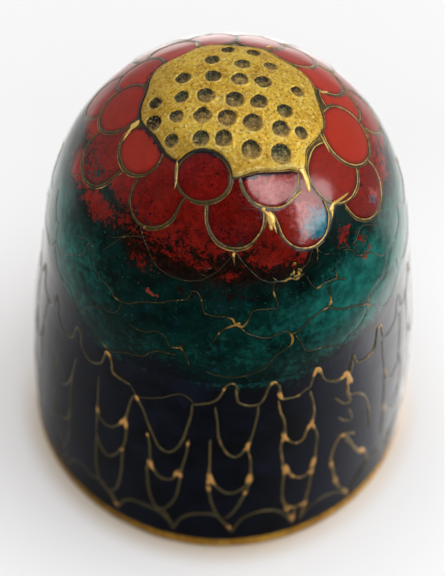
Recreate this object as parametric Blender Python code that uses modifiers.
"""Cloisonne sewing thimble: a domed copper cup, enamelled outside and inside, with a dimpled
gilt crown plate, fish-scale petals around it, a red and green band, a teal band with cloud
wires, a dark blue wall with chain wires and a gilt base rim.

Object units are metres, dimensions below are mm. +Z is up.
The origin is the centre of the base rim's resting face.
Azimuth 0 faces the front (-Y) and grows toward +X.
Heights h are measured square to the outer surface, positive outward.
"""

import math
from typing import NamedTuple

import bmesh
import bpy
import numpy as np

NAME = "cloisonne_thimble"
MM = 0.001

# Outer meridian, a chain of tangent arcs from the apex to the base:
# its length, and its fall angle (degrees below horizontal) at evenly spaced stations
LENGTH = 28.67
FALLS = (0.0, 27.0, 48.0, 72.5, 85.5, 83.0, 86.0, 90.5, 90.5)
MERIDIAN_STEPS = 2000

# Wall layers, as depths below the outer surface
ENAMEL = 0.60
CUP_OUTER = ENAMEL + 0.08
CUP_INNER = CUP_OUTER + 0.50
LINING_OUTER = CUP_INNER + 0.04
LINING_INNER = LINING_OUTER + 0.23
EDGE_Z = 0.80  # bottom edge of the enamel, cup and lining
TILE_GAP = 0.02

# Base rim
RIM_INNER = 8.15
RIM_TOP = EDGE_Z - 0.04
RIM_BULGE = 0.03
RIM_BEVEL = 0.10

# Wires
WIRE = 0.15
HALF_WIRE = 0.5 * WIRE
WIRE_PROUD = 0.02
WALL_WIRE_PROUD = 0.10
WALL_WIRE_FOOT = 0.015
FILLET = 0.07  # solder that fills the corners outside the petal wires
BAND_GAP = 0.05

# Crown plate
PLATE_PROUD = 0.07
PLATE_RADIUS = 4.1
DIMPLE_DEPTH = 0.24

# Facets
SEG_OUTER = 60
SEG_INNER = 36
CROWN_N = 108
TILE_N = 20

# Enamel zone borders and stations, as distances along the surface from the apex
ZONE_GAP = 0.06
BAND_END = 9.9
TEAL_END = LENGTH - 13.6
CUP_STATIONS = (0.0, 2.4, 4.8, 7.2, 9.6, 12.0, 15.0, 19.0, 23.5)
TEAL_STATIONS = (BAND_END + ZONE_GAP, 11.2, 12.6, TEAL_END)
NAVY_STATIONS = (TEAL_END + ZONE_GAP, 16.4, 17.9, 20.0, 23.5)

# Petals: azimuth (degrees), distance from the apex, half width, half length.
# Earlier ones lie over later ones, and the inner ring over the outer ring.
INNER_PETALS = (
    (-16, 4.35, 1.28, 1.12), (26, 4.50, 1.38, 1.34), (85, 5.80, 1.58, 1.50),
    (61, 5.93, 1.52, 1.41), (-94, 5.40, 1.40, 1.40), (-60, 4.95, 1.28, 1.10),
    (-119, 5.30, 1.28, 1.28), (217, 5.05, 1.26, 1.32), (193, 5.15, 1.25, 1.25),
    (167, 5.15, 1.25, 1.25), (145, 5.05, 1.20, 1.25), (123, 5.15, 1.26, 1.34),
    (105, 5.60, 1.20, 1.25),
)
OUTER_PETALS = (
    (35, 6.78, 1.40, 1.32), (4, 5.98, 1.36, 1.38), (-36, 6.14, 1.32, 1.30),
    (-73, 6.89, 1.52, 1.32), (68, 7.62, 1.66, 1.46), (107, 7.25, 1.35, 1.35),
    (143, 6.80, 1.40, 1.40), (180, 6.70, 1.40, 1.40), (-143, 6.75, 1.40, 1.40),
    (-108, 7.00, 1.40, 1.40),
)

# Dimples of the crown plate: distance toward +X, distance toward the front, mouth radius
DIMPLES = (
    (-2.3, -1.0, .34), (-0.9, -0.95, .36), (0.3, -0.8, .36), (1.35, -0.8, .36),
    (3.0, -0.7, .30), (-1.0, -2.2, .33), (0.4, -1.9, .33), (1.7, -2.0, .30),
    (-0.3, -3.1, .30), (0.9, -3.0, .30), (-3.55, 0.2, .30), (-2.3, 0.15, .30),
    (-1.2, 0.25, .38), (0.1, 0.45, .40), (1.2, 0.45, .36), (2.4, 0.65, .34),
    (-3.6, 1.3, .36), (-2.5, 1.2, .30), (-1.3, 1.3, .38), (-0.2, 1.45, .40),
    (0.95, 1.6, .40), (2.25, 1.65, .38), (3.25, 1.6, .30), (-2.7, 2.4, .32),
    (-1.35, 2.45, .36), (-0.3, 2.45, .36), (0.95, 2.85, .40), (2.35, 2.85, .44),
)

# Materials: base colour, metallic, roughness
FINISHES = {
    "gilt": ((0.80, 0.56, 0.20, 1), 1.0, 0.30),
    "copper": ((0.72, 0.38, 0.24, 1), 1.0, 0.35),
    "red": ((0.30, 0.02, 0.02, 1), 0.0, 0.12),
    "redgreen": ((0.10, 0.05, 0.04, 1), 0.0, 0.12),
    "teal": ((0.01, 0.10, 0.09, 1), 0.0, 0.12),
    "navy": ((0.01, 0.012, 0.03, 1), 0.0, 0.10),
    "lining": ((0.03, 0.22, 0.30, 1), 0.0, 0.20),
}

# ---------------------------------------------------------------- outer surface


def running_sum(slopes):
    """Integral of the slopes along the meridian, by the trapezium rule."""
    pieces = 0.5 * (slopes[1:] + slopes[:-1]) * (LENGTH / MERIDIAN_STEPS)
    return np.concatenate([[0.0], np.cumsum(pieces)])


DISTANCES = np.linspace(0.0, LENGTH, MERIDIAN_STEPS + 1)
ANGLES = np.radians(np.interp(DISTANCES, np.linspace(0.0, LENGTH, len(FALLS)), FALLS))
RADII = running_sum(np.cos(ANGLES))
DROPS = running_sum(np.sin(ANGLES))
HEIGHTS = DROPS[-1] - DROPS


def section(q, h):
    """Radius and height (mm) at distance q from the apex, h above the outer surface."""
    angle = np.interp(q, DISTANCES, ANGLES)
    radius = np.interp(q, DISTANCES, RADII) + h * np.sin(angle)
    return radius, np.interp(q, DISTANCES, HEIGHTS) + h * np.cos(angle)


def edge_point(h):
    """Section point on the bottom edge shared by enamel, cup and lining."""
    return section(LENGTH - EDGE_Z, h)[0], EDGE_Z


# Each function below turns map coordinates (mm, azimuth in radians) into metres.


def on_surface(az, q, h):
    radius, z = section(q, h)
    return (MM * radius * math.sin(az), -MM * radius * math.cos(az), MM * z)


def on_crown(x, y, h):
    """Flat crown map: x toward +X, y toward the front, both measured along the surface."""
    return on_surface(math.atan2(x, y), math.hypot(x, y), h)


def in_flat(x, y, h):
    return (x * MM, y * MM, h * MM)


def in_flat_polar(az, q, h):
    return in_flat(q * math.sin(az), q * math.cos(az), h)


# ---------------------------------------------------------------- scene and mesh helpers

for old in list(bpy.data.objects):
    bpy.data.objects.remove(old, do_unlink=True)


def new_collection(name):
    collection = bpy.data.collections.new(name)
    bpy.context.scene.collection.children.link(collection)
    return collection


PIECES = new_collection(NAME)
CUTTERS = new_collection(NAME + "_cutters")


def paint(ob, finish):
    colour, metallic, roughness = FINISHES[finish]
    material = bpy.data.materials.new(ob.name)
    material.use_nodes = True
    inputs = material.node_tree.nodes["Principled BSDF"].inputs
    inputs["Base Color"].default_value = colour
    inputs["Metallic"].default_value = metallic
    inputs["Roughness"].default_value = roughness
    material.diffuse_color = colour
    ob.data.materials.append(material)


def add(name, verts, faces, finish=None, edges=()):
    """A painted piece, or a hidden helper when no finish is given."""
    mesh = bpy.data.meshes.new(name)
    mesh.from_pydata(verts, list(edges), faces)
    mesh.update()
    ob = bpy.data.objects.new(name, mesh)
    if finish:
        PIECES.objects.link(ob)
        paint(ob, finish)
    else:
        CUTTERS.objects.link(ob)
        ob.hide_render = True
        ob.display_type = "WIRE"
    return ob


def tidy(mesh, flat=False, split=True):
    """Weld and turn the faces outward; flat merges coplanar faces, split triangulates."""
    bm = bmesh.new()
    bm.from_mesh(mesh)
    bmesh.ops.remove_doubles(bm, verts=bm.verts, dist=2e-6)
    if flat:
        limit = math.radians(1.0)
        bmesh.ops.dissolve_limit(bm, angle_limit=limit, verts=bm.verts, edges=bm.edges)
    bmesh.ops.dissolve_degenerate(bm, edges=bm.edges, dist=2e-6)
    if split:
        bmesh.ops.triangulate(bm, faces=bm.faces)
    bmesh.ops.recalc_face_normals(bm, faces=bm.faces)
    if bm.calc_volume(signed=True) < 0:
        bmesh.ops.reverse_faces(bm, faces=bm.faces)
    bm.to_mesh(mesh)
    bm.free()


def add_solid(name, solid, finish=None, split=True):
    """Tidied object from a (verts, faces) pair."""
    ob = add(name, *solid, finish)
    tidy(ob.data, split=split)
    return ob


def add_joined(name, solids):
    """One helper made of several separate closed solids."""
    verts, faces = [], []
    for solid_verts, solid_faces in solids:
        start = len(verts)
        verts += solid_verts
        faces += [[i + start for i in face] for face in solid_faces]
    return add(name, verts, faces)


def combine(ob, tool, operation, flat=False, split=True):
    """Apply a boolean with the tool, then tidy."""
    boolean = ob.modifiers.new("cut", "BOOLEAN")
    boolean.operation = operation
    boolean.solver = "EXACT"
    boolean.use_self = False
    boolean.object = tool
    bpy.context.view_layer.update()
    deps = bpy.context.evaluated_depsgraph_get()
    mesh = bpy.data.meshes.new_from_object(ob.evaluated_get(deps))
    ob.modifiers.clear()
    ob.data = mesh
    tidy(mesh, flat, split)


def revolve(name, profile, finish, steps, closed):
    """Screw of a section (mm); an open section starts and ends on the axis."""
    count = len(profile)
    edges = [(i, i + 1) for i in range(count - 1)]
    if closed:
        edges.append((count - 1, 0))
    ob = add(name, [(MM * r, 0.0, MM * z) for r, z in profile], [], finish, edges)
    screw = ob.modifiers.new("turn", "SCREW")
    screw.axis = "Z"
    screw.steps = steps
    screw.render_steps = steps
    screw.angle = 2 * math.pi
    screw.use_merge_vertices = True
    screw.merge_threshold = 1e-6


# ---------------------------------------------------------------- closed solids from outlines


def prism(outline, centre, top, bottom, place):
    """Fan-capped slab over a star-shaped outline."""
    n = len(outline)
    verts = []
    for h in (top, bottom):
        verts += [place(x, y, h) for x, y in [centre, *outline]]
    faces = []
    for i in range(n):
        j = (i + 1) % n
        faces.append([0, 1 + j, 1 + i])
        faces.append([n + 1, n + 2 + i, n + 2 + j])
        faces.append([1 + i, 1 + j, n + 2 + j, n + 2 + i])
    return verts, faces


def annulus(rows, place):
    """Closed ring of quads; rows is a loop of (function from azimuth to q, height)."""
    n = CROWN_N
    verts = []
    for edge, h in rows:
        for i in range(n):
            az = 2 * math.pi * i / n
            verts.append(place(az, edge(az), h))
    faces = []
    for row in range(len(rows)):
        following = (row + 1) % len(rows)
        a, b = row * n, following * n
        for i in range(n):
            j = (i + 1) % n
            faces.append([a + i, a + j, b + j, b + i])
    return verts, faces


def unit_rows(vectors):
    return vectors / np.linalg.norm(vectors, axis=1)[:, None]


def ribbon(path, top, bottom, place, period=0.0):
    """Wire strip with mitred corners; with a period the path closes after that much x."""
    points = np.array(path, float)
    if period:
        before, after = np.roll(points, 1, 0), np.roll(points, -1, 0)
        before[0, 0] -= period
        after[-1, 0] += period
    else:
        before = np.vstack([points[:1], points[:-1]])
        after = np.vstack([points[1:], points[-1:]])
    arriving, leaving = points - before, after - points
    if not period:
        arriving[0] = leaving[0]
        leaving[-1] = arriving[-1]
    arriving, leaving = unit_rows(arriving), unit_rows(leaving)
    tangents = unit_rows(arriving + leaving)
    stretch = 1.0 / np.clip((tangents * leaving).sum(1), 0.6, 1.0)
    offsets = np.stack([-tangents[:, 1], tangents[:, 0]], 1) * (HALF_WIRE * stretch)[:, None]
    verts = []
    for point, offset in zip(points, offsets):
        a, b = point + offset, point - offset
        verts += [place(*a, top), place(*b, top), place(*b, bottom), place(*a, bottom)]
    n = len(points)
    faces = []
    for i in range(n if period else n - 1):
        j = (i + 1) % n
        for k in range(4):
            m = (k + 1) % 4
            faces.append([4 * i + k, 4 * i + m, 4 * j + m, 4 * j + k])
    if not period:
        faces += [[3, 2, 1, 0], [4 * n - 4, 4 * n - 3, 4 * n - 2, 4 * n - 1]]
    return verts, faces


# ---------------------------------------------------------------- petal layout (crown map)


class Petal(NamedTuple):
    centre: np.ndarray
    half_width: float
    half_length: float
    ring: int  # 0 inner, 1 outer

    @property
    def mean_radius(self):
        return 0.5 * (self.half_width + self.half_length)

    def scaled(self, vectors):
        """Vectors as (sideways, outward) in units of the half width and half length."""
        out = self.centre / np.linalg.norm(self.centre)
        across = np.array([out[1], -out[0]])
        vectors = np.asarray(vectors, float)
        parts = [(vectors @ across) / self.half_width, (vectors @ out) / self.half_length]
        return np.stack(parts, -1)

    def distance(self, points):
        """Distance from the centre, scaled so that the outline is at the mean radius."""
        offset = self.scaled(points - self.centre)
        return np.hypot(offset[..., 0], offset[..., 1]) * self.mean_radius

    def crossings(self, az, clear):
        """Where a ray from the apex enters and leaves the petal grown by clear, or None."""
        ray = self.scaled([math.sin(az), math.cos(az)])
        centre = self.scaled(self.centre)
        reach = 1.0 + clear / self.mean_radius
        half, full = float(ray @ centre), float(ray @ ray)
        inside = half * half - full * (float(centre @ centre) - reach * reach)
        if half <= 0 or inside <= 0:
            return None
        root = math.sqrt(inside)
        return (half - root) / full, (half + root) / full


def make_petal(azimuth, q, half_width, half_length, ring):
    az = math.radians(azimuth)
    centre = np.array([q * math.sin(az), q * math.cos(az)])
    return Petal(centre, half_width, half_length, ring)


PETALS = [make_petal(*row, 0) for row in INNER_PETALS]
PETALS += [make_petal(*row, 1) for row in OUTER_PETALS]

PETAL_SEARCH = np.arange(0.05, 3.2, 0.01)  # trial distances from a petal's centre
TAIL_REACH = 2.3  # how far an outer petal may run toward the apex
TAIL_WIDTH = 0.98  # width of that tail, as a share of the petal's


def plate_edge(az):
    """Radius of the crown plate: an uneven disc, bitten by the front petal, with a tongue."""
    degrees = (math.degrees(az) + 180) % 360 - 180
    size = PLATE_RADIUS
    size += 0.22 * math.cos(math.radians(2 * (degrees - 75)))  # oval
    size += 0.18 * math.cos(math.radians(degrees))  # shift toward the front
    size += 0.45 * math.exp(-(((degrees - 47) / 6.0) ** 2))  # tongue
    size += 0.12 * math.cos(math.radians(9 * degrees))  # ripple
    bite = PETALS[0].crossings(az, HALF_WIRE + 0.03)
    return min(size, bite[0]) if bite else size


def blocked(index, points, clear):
    """Which points lie outside a petal's visible area, shrunk by clear."""
    petal = PETALS[index]
    centre, radius = petal.centre, petal.mean_radius
    own_distance = petal.distance(points)
    outside = own_distance > radius - clear
    bad = outside.copy()
    if petal.ring == 1:
        # an outer petal also fills the space between its outline and the inner petals or plate
        inward = -centre / np.linalg.norm(centre)
        across = np.array([-inward[1], inward[0]])
        offset = points - centre
        toward = offset @ inward
        narrow = np.abs(offset @ across) < TAIL_WIDTH * (petal.half_width - clear)
        bad &= ~((toward > 0) & narrow & (toward < TAIL_REACH))
    edge = np.array([plate_edge(math.atan2(x, y)) for x, y in points])
    bad |= np.hypot(points[:, 0], points[:, 1]) < edge + clear
    for j, other in enumerate(PETALS):
        if j == index:
            continue
        distance = other.distance(points)
        covered = distance < other.mean_radius + clear
        if j < index:
            bad |= covered
        if other.ring == petal.ring:
            # neighbours share the space beyond their outlines at the line of equal power
            spacing = np.linalg.norm(other.centre - centre)
            power = distance**2 - other.mean_radius**2 - (own_distance**2 - radius**2)
            bad |= outside & (covered | (power / (2 * spacing) < clear))
    return bad


def petal_outline(index, clear):
    """Outline of one petal's enamel, clear of the plate and of every petal above it."""
    centre = PETALS[index].centre
    inward = -centre / np.linalg.norm(centre)
    across = np.array([-inward[1], inward[0]])
    outline = []
    for k in range(TILE_N):
        angle = 2 * math.pi * k / TILE_N
        ray = math.cos(angle) * inward + math.sin(angle) * across
        bad = blocked(index, centre + PETAL_SEARCH[:, None] * ray, clear)
        hit = int(np.argmax(bad)) if bad.any() else len(PETAL_SEARCH) - 1
        outline.append(tuple(centre + PETAL_SEARCH[max(hit, 1)] * ray))
    return outline


def cluster_edge(az, clear):
    """Outer edge of the petal cluster: the far side of the petal that reaches furthest."""
    spans = [petal.crossings(az, clear) for petal in PETALS]
    return max([plate_edge(az) + 0.35] + [span[1] for span in spans if span])


# ---------------------------------------------------------------- turned pieces


def layer(stations, top, bottom, to_base=True):
    """Section of a wall layer: down its outer side, back up its inner side."""
    down = [section(q, top) for q in stations]
    up = [section(q, bottom) for q in reversed(stations)]
    edge = [edge_point(top), edge_point(bottom)] if to_base else []
    return down + edge + up


def build_cup_and_lining():
    cup = layer(CUP_STATIONS, -CUP_OUTER, -CUP_INNER)
    lining = layer(CUP_STATIONS, -LINING_OUTER, -LINING_INNER)
    revolve("copper_cup", cup, "copper", SEG_INNER, closed=False)
    revolve("counter_enamel", lining, "lining", SEG_INNER, closed=False)


def build_rim():
    wall = float(RADII[-1])
    outer = wall + RIM_BULGE
    profile = [
        (RIM_INNER, RIM_TOP), (wall - 0.06, RIM_TOP), (outer, RIM_TOP - 0.12),
        (outer, 0.14), (wall - RIM_BEVEL, 0.0),
        (RIM_INNER + RIM_BEVEL, 0.0), (RIM_INNER, RIM_BEVEL),
    ]
    revolve("rim_ring", profile, "gilt", SEG_OUTER, closed=True)


def build_wall_enamel():
    teal = layer(TEAL_STATIONS, 0.0, -ENAMEL, to_base=False)
    navy = layer(NAVY_STATIONS, 0.0, -ENAMEL)
    revolve("teal_enamel", teal, "teal", SEG_OUTER, closed=True)
    revolve("navy_enamel", navy, "navy", SEG_OUTER, closed=True)


# ---------------------------------------------------------------- crown plate

# Rings of the plate from top centre to bottom centre: share of its radius, height
PLATE_RINGS = (
    (0.35, PLATE_PROUD), (0.70, PLATE_PROUD), (0.96, PLATE_PROUD),
    (1.0, 0.0), (1.0, -ENAMEL), (0.5, -ENAMEL),
)


def plate_solid():
    verts = [on_surface(0, 0, PLATE_PROUD)]
    for share, h in PLATE_RINGS:
        for i in range(CROWN_N):
            az = 2 * math.pi * i / CROWN_N
            verts.append(on_surface(az, share * plate_edge(az), h))
    verts.append(on_surface(0, 0, -ENAMEL))
    bottom = len(verts) - 1
    last = bottom - CROWN_N
    faces = []
    for i in range(CROWN_N):
        j = (i + 1) % CROWN_N
        faces.append([0, 1 + i, 1 + j])
        for a in range(1, last, CROWN_N):
            b = a + CROWN_N
            faces.append([a + i, b + i, b + j, a + j])
        faces.append([last + i, bottom, last + j])
    return verts, faces


def dimple_ball(x, y, mouth):
    """Faceted ball that sinks a dimple of the given mouth radius into the plate."""
    radius = (mouth * mouth + DIMPLE_DEPTH * DIMPLE_DEPTH) / (2 * DIMPLE_DEPTH)
    cx, cy, cz = on_crown(x, y, PLATE_PROUD + radius - DIMPLE_DEPTH)
    bm = bmesh.new()
    bmesh.ops.create_icosphere(bm, subdivisions=1, radius=radius * MM)
    verts = [(vert.co.x + cx, vert.co.y + cy, vert.co.z + cz) for vert in bm.verts]
    faces = [[vert.index for vert in face.verts] for face in bm.faces]
    bm.free()
    return verts, faces


def build_plate():
    plate = add_solid("crown_plate", plate_solid(), "gilt")
    dimples = add_joined("dimples", [dimple_ball(*row) for row in DIMPLES])
    combine(plate, dimples, "DIFFERENCE", flat=True)


# ---------------------------------------------------------------- petals, their wires, band


def build_petals():
    for k, petal in enumerate(PETALS):
        outline = petal_outline(k, HALF_WIRE + TILE_GAP)
        tile = prism(outline, petal.centre, 0.0, -ENAMEL, on_crown)
        if petal.ring == 0:
            name = f"inner_petal_{k + 1:02d}"
        else:
            name = f"outer_petal_{k + 1 - len(INNER_PETALS):02d}"
        add_solid(name, tile, "red")


def web_inner(az):
    return plate_edge(az) + TILE_GAP


def web_outer(az):
    return cluster_edge(az, HALF_WIRE + FILLET)


def build_petal_wires():
    """One web, pierced in the flat map and then laid onto the crown."""
    rows = (
        (web_inner, WIRE_PROUD), (web_outer, WIRE_PROUD),
        (web_outer, -ENAMEL), (web_inner, -ENAMEL),
    )
    web = add_solid("petal_wires", annulus(rows, in_flat_polar), "gilt")
    holes = [
        prism(petal_outline(k, HALF_WIRE), petal.centre, 1.0, -1.6, in_flat)
        for k, petal in enumerate(PETALS)
    ]
    openings = add_joined("petal_openings", holes)
    tidy(openings.data)
    combine(web, openings, "DIFFERENCE", flat=True)
    for vert in web.data.vertices:
        x, y, h = (c / MM for c in vert.co)
        vert.co = on_crown(x, y, h)
    tidy(web.data)


def band_start(az):
    return cluster_edge(az, HALF_WIRE + FILLET + BAND_GAP)


def band_middle(az):
    return 0.5 * (band_start(az) + BAND_END)


def band_end(_az):
    return BAND_END


def build_band():
    rows = (
        (band_start, 0.0), (band_middle, 0.0), (band_end, 0.0),
        (band_end, -ENAMEL), (band_middle, -ENAMEL), (band_start, -ENAMEL),
    )
    add_solid("red_green_enamel", annulus(rows, on_surface), "redgreen")


# ---------------------------------------------------------------- wires of the wall
# Wall map: x = distance around the wall at its mean radius,
# y = distance along the surface above the base.

WALL_RADIUS = 9.3
WALL_TURN = 2 * math.pi * WALL_RADIUS

CLOUDS = 18
LOOPS = 27
LOOP_AZIMUTH = 3.5
CHAINS = 18
CHAIN_AZIMUTH = 4.5

# Repeats of the wires around the wall: share of the pitch, y
CLOUD_UPPER = ((0.0, 18.1), (0.15, 17.45), (0.35, 17.15), (0.65, 17.15), (0.85, 17.45))
CLOUD_LOWER = ((0.0, 16.2), (0.15, 15.45), (0.35, 15.1), (0.65, 15.1), (0.85, 15.45))
LOOP = ((-0.10, 12.9), (0.0, 13.2), (0.10, 12.9), (0.18, 12.0), (0.5, 11.80), (0.82, 12.0))
FESTOON = ((0.0, 1.45), (0.17, 2.5), (0.34, 2.95), (0.66, 2.95), (0.83, 2.5))

# Chain: x from its middle, y
LEGS = (
    (-0.98, 11.5), (-0.84, 9.4), (-0.92, 7.0), (-0.62, 3.9), (0.0, 1.95),
    (0.62, 3.9), (0.92, 7.0), (0.84, 9.4), (0.98, 11.5),
)
# two hanging cups and a cross bar between the legs
CUPS = (
    ((-0.84, 9.25), (-0.42, 8.15), (0.0, 8.0), (0.42, 8.15), (0.84, 9.25)),
    ((-0.90, 6.75), (-0.42, 5.60), (0.0, 5.45), (0.42, 5.60), (0.90, 6.75)),
    ((-0.48, 3.30), (0.48, 3.30)),
)
CUP_THINNING = 0.004


def on_wall(x, y, h):
    return on_surface(x / WALL_RADIUS, LENGTH - y, h)


def around(azimuth):
    """Wall map x of an azimuth in degrees."""
    return math.radians(azimuth) * WALL_RADIUS


def repeat(count, shift, shape):
    pitch = WALL_TURN / count
    return [(pitch * (k + share) + shift, y) for k in range(count) for share, y in shape]


def scale_path():
    """Arcs from tip to tip of the outer petals, dipping toward the band's lower border."""
    tips = sorted(((az + 360) % 360, q + half) for az, q, _, half in OUTER_PETALS)
    path = []
    for k, (start, tip) in enumerate(tips):
        end = tips[(k + 1) % len(tips)][0]
        if end < start:
            end += 360
        for share, q in ((0.0, tip + 0.22), (0.28, 8.95), (0.5, 9.2), (0.72, 8.95)):
            path.append((around(start + share * (end - start)), LENGTH - q))
    return path


def build_ring_wires():
    """Wires all round the wall, each a proud strip on the enamel."""
    paths = {
        # shallow scales, each ending in a small peak
        "cloud_wire_upper": repeat(CLOUDS, 0.0, CLOUD_UPPER),
        "cloud_wire_lower": repeat(CLOUDS, WALL_TURN / CLOUDS / 2, CLOUD_LOWER),
        "scale_wire": scale_path(),
        # narrow raised tabs joined by shallow runs
        "loop_wire": repeat(LOOPS, around(LOOP_AZIMUTH), LOOP),
        # arches that dip under every chain
        "festoon_wire": repeat(CHAINS, around(CHAIN_AZIMUTH), FESTOON),
    }
    for name, path in paths.items():
        strip = ribbon(path, WALL_WIRE_PROUD, WALL_WIRE_FOOT, on_wall, WALL_TURN)
        add_solid(name, strip, "gilt")


def chain_pattern():
    """One chain in a flat map; each cup is a hair thinner so that no faces coincide."""
    legs = ribbon(LEGS, WALL_WIRE_PROUD, WALL_WIRE_FOOT, in_flat)
    body = add_solid("chain_pattern", legs, split=False)
    for k, cup in enumerate(CUPS):
        inset = CUP_THINNING * (k + 1)
        strip = ribbon(cup, WALL_WIRE_PROUD - inset, WALL_WIRE_FOOT + inset, in_flat)
        piece = add_solid(f"chain_cup_{k}", strip, split=False)
        combine(body, piece, "UNION", split=False)
    return body.data


def build_chains():
    pattern = chain_pattern()
    faces = [list(polygon.vertices) for polygon in pattern.polygons]
    for k in range(CHAINS):
        shift = around(CHAIN_AZIMUTH + 360.0 / CHAINS * k)
        verts = [
            on_wall(vert.co.x / MM + shift, vert.co.y / MM, vert.co.z / MM)
            for vert in pattern.vertices
        ]
        add_solid(f"chain_wire_{k + 1:02d}", (verts, faces), "gilt")


build_cup_and_lining()
build_rim()
build_plate()
build_petals()
build_petal_wires()
build_band()
build_wall_enamel()
build_ring_wires()
build_chains()
